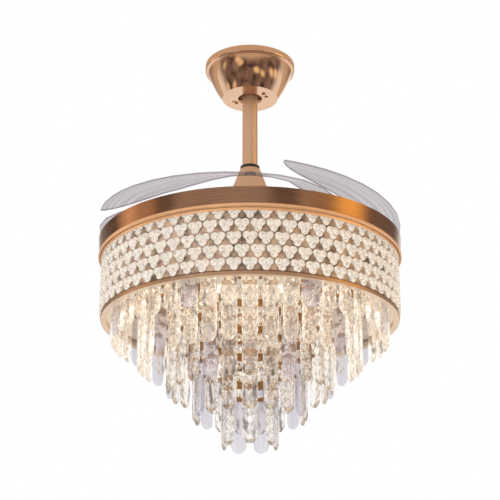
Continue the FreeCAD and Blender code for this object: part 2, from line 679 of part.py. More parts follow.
def build_shade():
    keep(tube("shade_wall_tube", SHADE_RADIUS, SHADE_RADIUS + " - shade_wall",
              f"{COVER_BASE} - ({SHADE_BASE})", SHADE_BASE), "crystal_band")
    keep(tube("trim_hoop", TRIM_RADIUS, TRIM_RADIUS + " - trim_width", "trim_height",
              f"{SHADE_BASE} - trim_height"), "trim_ring")
    keep(tube("lamp_disc", SHADE_RADIUS + " - shade_wall - trefoil_gap", "lamp_plate_hole",
              "lamp_plate_sheet", PLATE_BASE), "lamp_plate")


def build_lamp():
    made = []
    side = "module_side"
    height = "module_height"
    base = f"{PLATE_BASE} - {height}"
    for name in ("inner", "outer"):
        circle = f"{SHADE_RADIUS} * module_{name}_share"
        count = int(size(f"module_{name}_count"))
        for k, (x, y) in enumerate(ring_spots(circle, count), start=1):
            made.append(block(f"module_{name}_{k}", side, side, height, base, x, y))
    keep(group("module_set", made), "led_modules")
    top = f"{PLATE_BASE} + lamp_plate_sheet"
    keep(block("driver_case", "driver_width", "driver_length", "driver_height", top, "driver_offset"),
         "led_driver")
    keep(block("control_case", "driver_width", "control_length", "driver_height", top, "-driver_offset"),
         "control_box")


# Crystals

def faceted_solid(faces):
    return Part.makeSolid(Part.makeShell([Part.Face(Part.makePolygon(f + f[:1])) for f in faces]))


def trefoil_shape():
    """A three lobed stone on the X axis: flat back on the band, each lobe cut to its own point in front."""
    back = size(SHADE_RADIUS + " + trefoil_gap")

    def corner(reach, angle, depth=0.0):
        turn = math.radians(angle)
        return FreeCAD.Vector(back + depth, reach * math.cos(turn), reach * math.sin(turn))

    dip = corner(0, 0, size("trefoil_dip"))
    half_turn = size("lobe_half_turn")
    notch = size("trefoil_notch")
    reach = size("trefoil_reach")
    outline = []
    faces = []
    third = 360 / LOBES
    for k in range(LOBES):
        axis = third * k + 90 - third / 2
        lobe = [corner(notch, axis - third / 2), corner(reach, axis - half_turn),
                corner(reach, axis + half_turn)]
        crown = corner(size("lobe_centre"), axis, size("trefoil_depth"))
        rim = [dip] + lobe + [corner(notch, axis + third / 2)]
        faces += [[start, end, crown] for start, end in zip(rim, rim[1:] + rim[:1])]
        outline += lobe
    return faceted_solid(faces + [outline[::-1]])


def build_trefoils():
    stone = trefoil_shape()
    count = math.floor(2 * math.pi * size(SHADE_RADIUS) / size("trefoil_spacing"))
    rows = int(size("trefoil_rows"))
    for row in range(rows):
        level = size(f"{SHADE_BASE} + trefoil_foot") + size("trefoil_pitch") * (rows - 1 - row)
        stagger = 180.0 / count * (row % 2)
        shapes = spun_copies(stone.translated(FreeCAD.Vector(0, 0, level)), count, stagger)
        shaped(f"trefoil_row_{row + 1}", Part.makeCompound(shapes))


def prism_shape(radius, foot):
    """A flat bar of crystal on the X axis with a rounded foot."""
    half = size("prism_width") / 2
    top = foot + size("prism_length")
    inset = size("prism_round")
    profile = [(half, top), (half, foot + inset), (half / 2, foot), (-half / 2, foot),
               (-half, foot + inset), (-half, top)]
    thickness = size("prism_thickness")
    points = [FreeCAD.Vector(radius - thickness / 2, y, z) for y, z in profile]
    face = Part.Face(Part.makePolygon(points + points[:1]))
    return face.extrude(FreeCAD.Vector(thickness, 0, 0))


def bead_shape(radius, low, high):
    """A long eight sided bead on the X axis."""
    half = size("bead_width") / 2
    middle = (low + high) / 2
    girdle = [FreeCAD.Vector(radius + half * math.cos(a), half * math.sin(a), middle)
              for a in (0, math.pi / 2, math.pi, 3 * math.pi / 2)]
    faces = []
    for tip in (FreeCAD.Vector(radius, 0, low), FreeCAD.Vector(radius, 0, high)):
        faces += [[girdle[k], girdle[(k + 1) % 4], tip] for k in range(4)]
    return faceted_solid(faces)


def build_tiers():
    """Each tier is a ring of prisms, each prism hung on a strand of beads from the lamp plate."""
    for number, tier in enumerate(TIERS, start=1):
        radius = size(f"{SHADE_RADIUS} * tier_{tier}_share")
        foot = size(f"-drum_drop - tier_{tier}_drop")
        inner_way = 2 * math.pi * (radius - size("prism_thickness"))
        count = math.floor(inner_way / size("prism_pitch"))
        prism = prism_shape(radius, foot)
        low = foot + size("prism_length")
        length = size(PLATE_BASE) - low
        beads = max(1, round(length / size("bead_length")))
        levels = [low + length * k / beads for k in range(beads + 1)]
        strand = Part.makeCompound([bead_shape(radius, levels[k], levels[k + 1]) for k in range(beads)])
        first = size("front_azimuth")
        shaped(f"prism_tier_{number}", Part.makeCompound(spun_copies(prism, count, first)))
        shaped(f"bead_strands_{number}", Part.makeCompound(spun_copies(strand, count, first)))


def check_and_write():
    doc.recompute()
    for thing in doc.Objects:
        if "Invalid" in thing.State or "Error" in thing.State:
            raise RuntimeError(f"{thing.Name} failed: {thing.State}")
    for node in nodes:
        if node.Shape.isNull() or not node.Shape.isValid() or not node.Shape.Solids:
            raise RuntimeError(f"{node.Label} has no valid solid")
    os.makedirs("parts", exist_ok=True)
    for node in nodes:
        node.Shape.exportStep(f"parts/{node.Label}.step")


fill_sheet()
build_hanger_bracket()
build_canopy()
build_canopy_screws()
build_terminal_block()
build_hanger_ball()
build_downrod()
build_coupling()
build_coupling_bolt()
build_motor_shaft()
build_stator()
build_rotor_housing()
build_blade_tray()
build_pivots()
build_blades()
build_drum()
build_shade()
build_lamp()
build_trefoils()
build_tiers()
check_and_write()
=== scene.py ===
import cmath
import json
import math
import random

import bpy
import numpy as np
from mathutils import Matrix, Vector


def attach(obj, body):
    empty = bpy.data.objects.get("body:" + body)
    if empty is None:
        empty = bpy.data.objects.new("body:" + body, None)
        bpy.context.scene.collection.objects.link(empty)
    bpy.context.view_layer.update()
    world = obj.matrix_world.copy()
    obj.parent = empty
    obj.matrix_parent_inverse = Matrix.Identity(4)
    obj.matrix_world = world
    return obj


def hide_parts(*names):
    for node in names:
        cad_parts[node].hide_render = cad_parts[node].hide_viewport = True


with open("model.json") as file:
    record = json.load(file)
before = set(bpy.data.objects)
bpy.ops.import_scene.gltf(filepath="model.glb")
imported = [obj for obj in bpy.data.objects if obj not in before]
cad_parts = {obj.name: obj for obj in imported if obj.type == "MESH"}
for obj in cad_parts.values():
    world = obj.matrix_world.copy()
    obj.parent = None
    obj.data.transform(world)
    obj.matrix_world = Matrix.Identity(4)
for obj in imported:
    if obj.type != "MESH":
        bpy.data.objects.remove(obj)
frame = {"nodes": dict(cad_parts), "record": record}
nodes = frame["nodes"]
scene = bpy.context.scene
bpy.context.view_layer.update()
random.seed(11)
MM = 0.001

# Sizes shared with the solids, in millimetres
SHADE_RADIUS = 240.0
SHADE_LEVEL = -467.0
PLATE_LEVEL = -378.0

# Stones of the band. A lobe has its angle, the distance of its centre and its radius.
STONE_ROWS = 5
STONE_COUNT = 64
STONE_FIRST_ROW = 10.5
STONE_ROW_STEP = 20.4
STONE_BACK = SHADE_RADIUS + 0.2
STONE_EDGE = 2.4
STONE_MIDDLE = 3.0
STONE_TABLE = 4.6
STONE_NOTCH = 7.0
LOBES = ((30, 6.0, 5.9), (150, 6.0, 5.9), (270, 5.4, 5.8))
LOBE_ARC = range(-75, 76, 25)
TABLE_CORNERS = len(LOBE_ARC) + 3

# Hanging crystals. A tier has its radius, its foot's level, its count, and which bars are plain:
# those whose steps from the front, with a shift, divide evenly.
TIERS = (
    (222.0, -513.0, 45, 6, 3),
    (178.08, -553.0, 36, 7, 2),
    (130.08, -594.0, 26, 5, 3),
    (88.08, -635.0, 17, 3, 0),
    (42.0, -678.0, 7, 3, 0),
)
# From this tier down, the faceted bars take a darker copy of the crystal: painted shade.
FIRST_SHADED_TIER = 3
BAR_WIDTH = 26.0
BAR_LENGTH = 88.0
BAR_DEPTH = 9.0
BAR_BEVEL = 3.2
BAR_BEVEL_DEPTH = 2.6
BAR_ARC_STEPS = 12
FACET_RINGS = 12
FACET_SIDES = 8
FACET_FOOT = 0.15
FACET_FOOT_REACH = 0.45
FACET_WAIST = 0.93
BEAD_SPACING = 24.0
BEAD_SIDES = 8
BEAD_HALF_WIDTH = 7.4
BEAD_HALF_HEIGHT = 9.2
BEAD_PROFILE = ((0.5, -4.2), (0.92, -1.2), (0.92, 1.2), (0.5, 4.2))
# crystal_low_faceted is the darker, painted-shade copy of the faceted crystal.
BEAD_FINISHES = ("crystal_bead", "crystal_low_faceted", "crystal_prism")
BEAD_CHANCES = (8, 1, 1)
JOINT_CLIP = (7.6, 10.0, 13.0)
PLATE_CLIP = (5.0, 5.0, 4.0)
PLATE_CLIP_DROP = 2.2
BAR_CLIP = (7.0, 12.0, 6.0)
CLIP_BEVEL = 0.5

# Lip and lining, as (radius, level)
RING_STEPS = 240
LIP_CENTRE = (246.01, -367.0)
LIP_RADIUS = 3.75
LIP_REACH = math.asin(3.0 / 3.6)
LIP_STEPS = 9
LIP_SKIN = 0.3
LIP_RETURN = ((244.9, -374.6), (245.9, -374.2), (246.2, -369.8), (244.9, -369.8))
LINING = ((237.7, -459.0), (238.3, -459.0), (238.3, -380.5), (237.7, -380.5))

# Sockets of a colour mix node
MIX_FACTOR, MIX_FIRST, MIX_SECOND, MIX_RESULT = 0, 6, 7, 2
WHITE = (1, 1, 1)

# How a texture is stretched along X, Y and Z
EVEN = (1, 1, 1)
UPRIGHT = (1, 1, 0.1)
LONG_FLECKS = (1, 1, 0.3)


# Shader nodes

def plug(tree, value, socket):
    """Links a node's output to a socket, or sets the socket to a number or a colour."""
    if isinstance(value, bpy.types.NodeSocket):
        tree.links.new(value, socket)
    elif isinstance(value, tuple):
        socket.default_value = (*value, 1)
    else:
        socket.default_value = value


def calculated(tree, operation, *values):
    node = tree.nodes.new("ShaderNodeMath")
    node.operation = operation
    for value, socket in zip(values, node.inputs):
        plug(tree, value, socket)
    return node.outputs["Value"]


def ranged(tree, value, start, end, low=0.0, high=1.0, smooth=False):
    """Maps start to low and end to high, and holds both ends."""
    node = tree.nodes.new("ShaderNodeMapRange")
    node.interpolation_type = "SMOOTHSTEP" if smooth else "LINEAR"
    node.inputs["From Min"].default_value = start
    node.inputs["From Max"].default_value = end
    node.inputs["To Min"].default_value = low
    node.inputs["To Max"].default_value = high
    tree.links.new(value, node.inputs["Value"])
    return node.outputs["Result"]


def spread(tree, value, low, high):
    """Maps the middle of a noise's range to low and high."""
    return ranged(tree, value, 0.3, 0.7, low, high)


def blend(tree, factor, first, second):
    """A mix of two colours, each a plain colour or a node's output."""
    node = tree.nodes.new("ShaderNodeMix")
    node.data_type = "RGBA"
    tree.links.new(factor, node.inputs[MIX_FACTOR])
    plug(tree, first, node.inputs[MIX_FIRST])
    plug(tree, second, node.inputs[MIX_SECOND])
    return node.outputs[MIX_RESULT]


def ramp(tree, value, stops):
    """Colours along a value from 0 to 1, from stops of (position, colour)."""
    node = tree.nodes.new("ShaderNodeValToRGB")
    elements = node.color_ramp.elements
    for k, (position, color) in enumerate(stops):
        stop = elements.new(position) if k else elements[0]
        stop.position = position
        stop.color = (*color, 1)
    elements.remove(elements[-1])
    tree.links.new(value, node.inputs["Fac"])
    return node.outputs["Color"]


def coordinates(tree, source="Object"):
    return tree.nodes.new("ShaderNodeTexCoord").outputs[source]


def mapped(tree, stretch, source="Object"):
    """Coordinates scaled along each axis."""
    mapping = tree.nodes.new("ShaderNodeMapping")
    mapping.inputs["Scale"].default_value = stretch
    tree.links.new(coordinates(tree, source), mapping.inputs["Vector"])
    return mapping.outputs["Vector"]


def axes(tree, vector):
    """The X, Y and Z outputs of a vector."""
    node = tree.nodes.new("ShaderNodeSeparateXYZ")
    tree.links.new(vector, node.inputs["Vector"])
    return node.outputs


def from_axis(tree):
    """Distance from the rod's axis."""
    level = tree.nodes.new("ShaderNodeVectorMath")
    level.operation = "MULTIPLY"
    level.inputs[1].default_value = (1, 1, 0)
    tree.links.new(coordinates(tree), level.inputs[0])
    length = tree.nodes.new("ShaderNodeVectorMath")
    length.operation = "LENGTH"
    tree.links.new(level.outputs["Vector"], length.inputs[0])
    return length.outputs["Value"]


def noise(tree, scale, stretch=EVEN, detail=3.0, source="Object"):
    texture = tree.nodes.new("ShaderNodeTexNoise")
    texture.inputs["Scale"].default_value = scale
    texture.inputs["Detail"].default_value = detail
    tree.links.new(mapped(tree, stretch, source), texture.inputs["Vector"])
    return texture.outputs["Fac"]


def line_noise(tree, value, scale):
    """Noise along one value."""
    texture = tree.nodes.new("ShaderNodeTexNoise")
    texture.noise_dimensions = "1D"
    texture.inputs["Scale"].default_value = scale
    texture.inputs["Detail"].default_value = 3.0
    tree.links.new(value, texture.inputs["W"])
    return texture.outputs["Fac"]


def relief(tree, shader, height, strength, distance):
    node = tree.nodes.new("ShaderNodeBump")
    node.inputs["Strength"].default_value = strength
    node.inputs["Distance"].default_value = distance
    tree.links.new(height, node.inputs["Height"])
    tree.links.new(node.outputs["Normal"], shader.inputs["Normal"])


def mixed_surface(tree, factor, first, second):
    """Makes a mix of two shaders the material's surface."""
    node = tree.nodes.new("ShaderNodeMixShader")
    plug(tree, factor, node.inputs["Fac"])
    tree.links.new(first, node.inputs[1])
    tree.links.new(second, node.inputs[2])
    tree.links.new(node.outputs["Shader"], tree.nodes["Material Output"].inputs["Surface"])


# Finishes

def new_finish(name, color, roughness, **sockets):
    material = bpy.data.materials.new(name)
    material.use_nodes = True
    shader = material.node_tree.nodes["Principled BSDF"]
    shader.inputs["Base Color"].default_value = (*color, 1)
    shader.inputs["Roughness"].default_value = roughness
    for socket, value in sockets.items():
        plug(material.node_tree, value, shader.inputs[socket.replace("_", " ")])
    return material, material.node_tree, shader


def worn(name, color, roughness, scale, stretch=EVEN, shade=0.85, depth=0.0, clean=1.0, **sockets):
    """A finish whose colour and roughness drift a little, with a fine relief where it has depth."""
    material, tree, shader = new_finish(name, color, roughness, **sockets)
    drift = noise(tree, scale, stretch)
    darker = tuple(channel * shade for channel in color)
    cover = spread(tree, drift, 0, clean)
    tree.links.new(blend(tree, cover, darker, color), shader.inputs["Base Color"])
    smoother, rougher = roughness * 0.75, roughness * 1.3
    tree.links.new(spread(tree, drift, smoother, rougher), shader.inputs["Roughness"])
    if depth:
        relief(tree, shader, drift, depth, 0.0005)
    return material


def crystal(name, color, painted_reflection, painted_glow, scale, depth, bend, clear=1.0, stretch=EVEN):
    """Cut crystal with painted reflections in flecks of another colour, and a painted glow for a little of the
    lamps' light it passes on.
    """
    # Painted light: a faint warm emission makes the crystal glow, though it is no lamp.
    material, tree, shader = new_finish(name, color, 0.01, Transmission_Weight=clear, IOR=bend,
                                        Emission_Color=(1.0, 0.90, 0.76), Emission_Strength=painted_glow)
    # Painted reflection: where the noise is low the crystal takes the fleck colour, darker or golden, in place of
    # what the cut glass reflects.
    clean = spread(tree, noise(tree, scale, stretch, 2.0), 0, 2.8)
    tree.links.new(blend(tree, clean, painted_reflection, color), shader.inputs["Base Color"])
    relief(tree, shader, noise(tree, scale, EVEN, 1.0), depth, 0.004)
    return material


def see_through(tree, shader, color, share):
    """Lets the tinted view behind through, with a share of the shader over it."""
    clear = tree.nodes.new("ShaderNodeBsdfTransparent")
    tree.links.new(color, clear.inputs["Color"])
    mixed_surface(tree, share, clear.outputs["BSDF"], shader.outputs["BSDF"])


def plain_crystal(name):
    """Pale lavender crystal with soft upright streaks."""
    material, tree, shader = new_finish(name, (0.80, 0.79, 0.86), 0.06)
    streaks = spread(tree, noise(tree, 170, UPRIGHT), 0, 1)
    see_through(tree, shader, blend(tree, streaks, (0.82, 0.81, 0.84), (0.92, 0.91, 0.935)), 0.13)
    return material


def clear_sheet(name):
    """Clear grey sheet, darker along its cut edges, with faint lines that follow its curve."""
    material, tree, shader = new_finish(name, (0.50, 0.47, 0.50), 0.12)
    surface = tree.nodes.new("ShaderNodeNewGeometry")
    upward = axes(tree, surface.outputs["True Normal"])["Z"]
    on_face = ranged(tree, calculated(tree, "ABSOLUTE", upward), 0.45, 0.8)
    streaks = spread(tree, line_noise(tree, from_axis(tree), 130), 0, 1)
    lines = blend(tree, streaks, (0.70, 0.68, 0.70), (0.94, 0.925, 0.935))
    see_through(tree, shader, blend(tree, on_face, (0.44, 0.42, 0.45), lines), 0.16)
    return material


def trim_gold_painted_shade_and_light(name):
    """Rose gold with a painted shadow line dark under the stones, and painted light pale inside, where the lamps
    light it.
    """
    material, tree, shader = new_finish(name, (0.40, 0.26, 0.17), 0.35, Metallic=0.8)
    height = axes(tree, coordinates(tree))["Z"]
    # Painted shadow: the top of the ring is dark, as if shaded by the stones above it.
    top = ranged(tree, height, (SHADE_LEVEL - 2.4) * MM, (SHADE_LEVEL - 1.0) * MM)
    side = blend(tree, top, (0.46, 0.30, 0.20), (0.16, 0.09, 0.06))
    # Painted light: the inner face is pale, as if lit by the lamps inside the drum.
    inside = ranged(tree, from_axis(tree), (SHADE_RADIUS + 1.7) * MM, (SHADE_RADIUS + 1.0) * MM)
    tree.links.new(blend(tree, inside, side, (0.84, 0.66, 0.50)), shader.inputs["Base Color"])
    tree.links.new(spread(tree, noise(tree, 30), 0.28, 0.44), shader.inputs["Roughness"])
    return material


WORN_LOOKS = {
    "rose_gold": dict(color=(0.82, 0.56, 0.40), roughness=0.07, scale=30, shade=0.93, Metallic=1.0),
    "rose_gold_brushed": dict(color=(0.42, 0.25, 0.17), roughness=0.18, scale=22, stretch=(1, 1, 60),
                              shade=0.66, depth=0.10, Metallic=1.0),
    "rose_gold_satin": dict(color=(0.72, 0.50, 0.355), roughness=0.42, scale=30, stretch=UPRIGHT,
                            shade=0.9, Metallic=0.8),
    "lip_gold": dict(color=(0.92, 0.56, 0.32), roughness=0.38, scale=60, shade=0.9, Metallic=0.75),
    "clip_gold": dict(color=(0.62, 0.34, 0.14), roughness=0.2, scale=90, shade=0.6, Metallic=0.9),
    "mirror_sleeve": dict(color=(0.46, 0.32, 0.225), roughness=0.32, scale=60, shade=0.2, clean=1.25,
                          Metallic=0.2),
    # Painted light: the lining glows warm, as if lit by the lamps inside the drum.
    "sleeve_lining_with_painted_glow": dict(color=(1.0, 0.93, 0.84), roughness=0.25, scale=130, shade=0.5, depth=0.8,
                          Emission_Color=(1.0, 0.86, 0.70), Emission_Strength=0.30),
    "zinc_steel": dict(color=(0.60, 0.60, 0.59), roughness=0.32, scale=160, shade=0.8, Metallic=1.0),
    "dark_bolt": dict(color=(0.30, 0.15, 0.08), roughness=0.35, scale=120, Metallic=1.0),
    "spring_steel": dict(color=(0.42, 0.42, 0.43), roughness=0.3, scale=40, stretch=(1, 1, 40),
                         shade=0.5, depth=0.5, Metallic=1.0),
    "copper": dict(color=(0.62, 0.24, 0.09), roughness=0.32, scale=40, stretch=(1, 1, 30),
                   shade=0.6, depth=0.6, Metallic=0.8),
    "lamination": dict(color=(0.22, 0.22, 0.23), roughness=0.45, scale=30, stretch=(1, 1, 50),
                       shade=0.6, depth=0.5, Metallic=0.7),
    "magnet": dict(color=(0.05, 0.05, 0.055), roughness=0.55, scale=90),
    "motor_paint": dict(color=(0.66, 0.52, 0.42), roughness=0.36, scale=220, shade=0.93, depth=0.04,
                        Metallic=0.6),
    "white_enamel": dict(color=(0.86, 0.80, 0.72), roughness=0.38, scale=60, shade=0.96),
    # Painted light: the lamp plate glows a little, though it is no lamp, to brighten the crystals below it.
    "plate_with_painted_glow": dict(color=(0.88, 0.80, 0.70), roughness=0.4, scale=60, shade=0.94,
                      Emission_Color=(1.0, 0.86, 0.66), Emission_Strength=0.24),
    "led_lens": dict(color=(1.0, 0.93, 0.80), roughness=0.4, scale=240, shade=0.9, depth=0.08,
                     Emission_Color=(1.0, 0.82, 0.55), Emission_Strength=1.9),
    "pale_plastic": dict(color=(0.80, 0.78, 0.72), roughness=0.45, scale=300, shade=0.96, depth=0.06),
    "black_plastic": dict(color=(0.015, 0.014, 0.014), roughness=0.34, scale=260, shade=0.7, depth=0.06),
    "arm_plastic": dict(color=(0.70, 0.66, 0.62), roughness=0.30, scale=120, shade=0.94),
}
# In each crystal look the fleck colour is a painted reflection and the glow is painted light.
CRYSTAL_LOOKS = {
    "crystal_trefoil": dict(color=(1.0, 0.95, 0.89), painted_reflection=(0.50, 0.45, 0.41), painted_glow=0.08, scale=260,
                            depth=0.7, bend=1.52, clear=0.6),
    "crystal_bead": dict(color=(1.0, 0.975, 0.94), painted_reflection=(0.95, 0.62, 0.18), painted_glow=0.05, scale=60,
                         depth=0.02, bend=1.42),
    "crystal_faceted": dict(color=(0.955, 0.94, 0.915), painted_reflection=(0.14, 0.14, 0.15), painted_glow=0.11, scale=130,
                            depth=0.06, bend=1.42, stretch=LONG_FLECKS),
    # A darker copy of crystal_faceted with less glow, for the lower tiers: painted shade.
    "crystal_low_faceted": dict(color=(0.91, 0.89, 0.87), painted_reflection=(0.07, 0.07, 0.08), painted_glow=0.05, scale=110,
                                depth=0.06, bend=1.42, stretch=LONG_FLECKS),
}
TABLES = ("stone_table_1", "stone_table_2", "stone_table_3")
TABLE_COLORS = ((0.91, 0.86, 0.79), (0.96, 0.82, 0.76), (0.84, 0.84, 0.77))
# The tables' fleck colour is a painted reflection and their glow is painted light.
TABLE_LOOK = dict(painted_reflection=(0.26, 0.21, 0.18), painted_glow=0.07, scale=400, depth=0.8, bend=1.52, clear=0.55)
FINISHES = {name: worn(name, **look) for name, look in WORN_LOOKS.items()}
FINISHES.update({name: crystal(name, **look) for name, look in CRYSTAL_LOOKS.items()})
FINISHES.update({name: crystal(name, color, **TABLE_LOOK) for name, color in zip(TABLES, TABLE_COLORS)})
FINISHES.update({
    "crystal_prism": plain_crystal("crystal_prism"),
    "clear_acrylic": clear_sheet("clear_acrylic"),
    "trim_gold_painted_shade_and_light": trim_gold_painted_shade_and_light("trim_gold_painted_shade_and_light"),
})
OWN_FINISH = {
    "downrod": "rose_gold_satin",
    "coupling_cover": "rose_gold_satin",
    "trim_ring": "trim_gold_painted_shade_and_light",
    "lamp_plate": "plate_with_painted_glow",
}
SLOT_OF = {row["node"]: row["material_slot"] for row in frame["record"]["subparts"]}


def dress_nodes():
    """Each solid takes its slot's finish, or one of its own."""
    for name, node in nodes.items():
        node.data.materials.clear()
        node.data.materials.append(FINISHES[OWN_FINISH.get(name, SLOT_OF[name])])


# Meshes

def spun(points, faces, spins):
    """Copies of a shape turned about Z. Spins are in degrees."""
    points = np.array(points, float)
    corners, sides = [], []
    for angle in np.radians(spins):
        turn = np.array([[math.cos(angle), -math.sin(angle), 0],
                         [math.sin(angle), math.cos(angle), 0],
                         [0, 0, 1]])
        first = len(corners) * len(points)
        corners.append(points @ turn.T)
        sides += [[first + k for k in face] for face in faces]
    return np.vstack(corners), sides


def joined(shapes):
    """One list of points and faces from several shapes."""
    points, faces = [], []
    for some_points, some_faces in shapes:
        first = len(points)
        points += [tuple(p) for p in some_points]
        faces += [[first + k for k in face] for face in some_faces]
    return points, faces


def piece(name, shape, finishes, replaced=()):
    """A new piece on the stem from points in millimetres and faces."""
    points, faces = shape
    mesh = bpy.data.meshes.new(name)
    mesh.from_pydata((np.array(points) * MM).tolist(), [], faces)
    for finish in finishes:
        mesh.materials.append(FINISHES[finish])
    mesh.update()
    thing = bpy.data.objects.new(name, mesh)
    scene.collection.objects.link(thing)
    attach(thing, "stem")
    if replaced:
        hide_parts(*replaced)
    return thing


def walls(count, loops):
    """Four sided faces between loops of equally many points, listed one loop after another."""
    faces = []
    for low in range(0, (loops - 1) * count, count):
        for k in range(count):
            after = (k + 1) % count
            faces.append([low + k, low + after, low + count + after, low + count + k])
    return faces


def caps(count, loops):
    """Faces that close the first and the last loop."""
    last = count * (loops - 1)
    return [list(range(count))[::-1], [last + k for k in range(count)]]


def stacked(loops):
    """A closed solid through loops of equally many points."""
    count = len(loops[0])
    points = [p for loop in loops for p in loop]
    return points, caps(count, len(loops)) + walls(count, len(loops))


def revolved(section):
    """A ring from a closed section of (radius, level)."""
    size = len(section)
    points, faces = [], []
    for k in range(RING_STEPS):
        a = 2 * math.pi * k / RING_STEPS
        points += [(x * math.cos(a), x * math.sin(a), z) for x, z in section]
        near, far = k * size, (k + 1) % RING_STEPS * size
        for j in range(size):
            after = (j + 1) % size
            faces.append([near + j, far + j, far + after, near + after])
    return points, faces


def block(centre, sides):
    """A small block with four bevelled edges, on the X axis."""
    x, y, z = centre
    dx, dy, dz = (side / 2 for side in sides)
    in_y, in_z = dy - CLIP_BEVEL, dz - CLIP_BEVEL
    outline = [(dy, -in_z), (dy, in_z), (in_y, dz), (-in_y, dz),
               (-dy, in_z), (-dy, -in_z), (-in_y, -dz), (in_y, -dz)]
    return stacked([[(x + depth, y + a, z + b) for a, b in outline] for depth in (-dx, dx)])


# Lip of the drum and lining of the sleeve

def build_lip():
    """A polished skin over the rounded lip at the drum's lower edge, and its return below."""
    x, z = LIP_CENTRE
    outside = [(x + LIP_RADIUS * math.cos(a), z + LIP_RADIUS * math.sin(a))
               for a in np.linspace(-LIP_REACH, LIP_REACH, LIP_STEPS)]
    inside = [(radius - LIP_SKIN, level) for radius, level in outside[::-1]]
    lip = piece("polished_lip", revolved(outside + inside), ["lip_gold"])
    lip.data.polygons.foreach_set("use_smooth", [True] * len(lip.data.polygons))
    piece("lip_return", revolved(LIP_RETURN), ["lip_gold"])


def build_lining():
    """The backs of the stones, seen on the inside of the sleeve, with a painted glow where the lamps light them.
    """
    piece("sleeve_lining_with_painted_glow", revolved(LINING), ["sleeve_lining_with_painted_glow"])


# Crystals of the band

def trefoil(level):
    """A three lobed stone on the X axis, each lobe cut to a flat table in front."""
    def at(reach, angle, depth):
        turn = math.radians(angle)
        return (STONE_BACK + depth, reach * math.cos(turn), level + reach * math.sin(turn))

    def drawn_in(points, middle, shares):
        return [tuple(middle + (np.array(p) - middle) * shares) for p in points]

    shapes, outline = [], []
    for axis, distance, radius in LOBES:
        arc = [distance + cmath.rect(radius, math.radians(a)) for a in LOBE_ARC]
        rim = [(STONE_NOTCH, axis - 60)]
        rim += [(abs(spot), axis + math.degrees(cmath.phase(spot))) for spot in arc]
        outline += rim
        rim = rim + [(STONE_NOTCH, axis + 60)]
        edge = [at(0, 0, STONE_MIDDLE)] + [at(reach, angle, STONE_EDGE) for reach, angle in rim]
        middle = np.array(at(distance, axis, STONE_TABLE))
        crown = drawn_in(edge, middle, (0.35, 0.8, 0.8))
        table = drawn_in(edge, middle, (0, 0.42, 0.42))
        count = len(edge)
        top = caps(count, 3)[1]
        shapes.append((edge + crown + table, walls(count, 3) + [top]))
    count = len(outline)
    foot = [at(reach, angle, 0) for reach, angle in outline]
    crown = [at(reach, angle, STONE_EDGE) for reach, angle in outline]
    back = caps(count, 2)[0]
    shapes.append((foot + crown, walls(count, 2) + [back]))
    return joined(shapes)


def build_trefoils():
    """Rows of stones, every other row half a step round, with tables of three tints."""
    for row in range(STONE_ROWS):
        level = SHADE_LEVEL + STONE_FIRST_ROW + STONE_ROW_STEP * (STONE_ROWS - 1 - row)
        stagger = 180.0 / STONE_COUNT * (row % 2)
        spins = [stagger + 360.0 * k / STONE_COUNT for k in range(STONE_COUNT)]
        points, faces = spun(*trefoil(level), spins)
        stones = piece(f"band_crystals_{row + 1}", (points, faces), ["crystal_trefoil", *TABLES],
                       [f"trefoil_row_{row + 1}"])
        picks = [random.randint(1, len(TABLES)) for _ in spins]
        sides = len(faces) // len(spins)
        tables = [picks[k // sides] if len(face) == TABLE_CORNERS else 0 for k, face in enumerate(faces)]
        stones.data.polygons.foreach_set("material_index", tables)


# Hanging crystals

def bar(radius, foot):
    """A flat bar with bevelled edges and a half round foot."""
    half = BAR_WIDTH / 2

    def outline(inset):
        reach = half - inset
        turns = [math.pi * k / BAR_ARC_STEPS for k in range(BAR_ARC_STEPS + 1)]
        arc = [(-reach * math.cos(a), foot + half - reach * math.sin(a)) for a in turns]
        top = foot + BAR_LENGTH - inset
        return arc + [(reach, top), (-reach, top)]

    front = BAR_DEPTH / 2
    steps = ((-front, BAR_BEVEL), (-front + BAR_BEVEL_DEPTH, 0), (front - BAR_BEVEL_DEPTH, 0), (front, BAR_BEVEL))
    return stacked([[(radius + depth, y, z) for y, z in outline(inset)] for depth, inset in steps])


def faceted_bar(radius, foot):
    """A bar cut in triangular facets: rings of points, each turned half a step from the last."""
    loops = []
    for k in range(FACET_RINGS + 1):
        share = k / FACET_RINGS
        reach = math.sqrt(1 - (1 - share / FACET_FOOT) ** 2) if share < FACET_FOOT else 1.0
        reach = max(reach, FACET_FOOT_REACH) * (1.0 if k % 2 else FACET_WAIST)
        turns = [2 * math.pi / FACET_SIDES * (j + 0.5 * (k % 2)) for j in range(FACET_SIDES)]
        loops.append([(radius + BAR_DEPTH / 2 * reach * math.cos(a), BAR_WIDTH / 2 * reach * math.sin(a),
                       foot + BAR_LENGTH * share) for a in turns])
    points = [p for loop in loops for p in loop]
    faces = caps(FACET_SIDES, len(loops))
    for k in range(FACET_RINGS):
        low, high = FACET_SIDES * k, FACET_SIDES * (k + 1)
        for j in range(FACET_SIDES):
            after = (j + 1) % FACET_SIDES
            if k % 2:
                faces += [[low + j, high + after, high + j], [low + j, low + after, high + after]]
            else:
                faces += [[low + j, low + after, high + j], [low + after, high + after, high + j]]
    return points, faces


def bead(radius, middle):
    """An eight sided bead with a flat table on each side."""
    turns = [2 * math.pi / BEAD_SIDES * (k + 0.5) for k in range(BEAD_SIDES)]
    return stacked([[(radius + depth, BEAD_HALF_WIDTH * reach * math.cos(a),
                      middle + BEAD_HALF_HEIGHT * reach * math.sin(a)) for a in turns]
                    for reach, depth in BEAD_PROFILE])


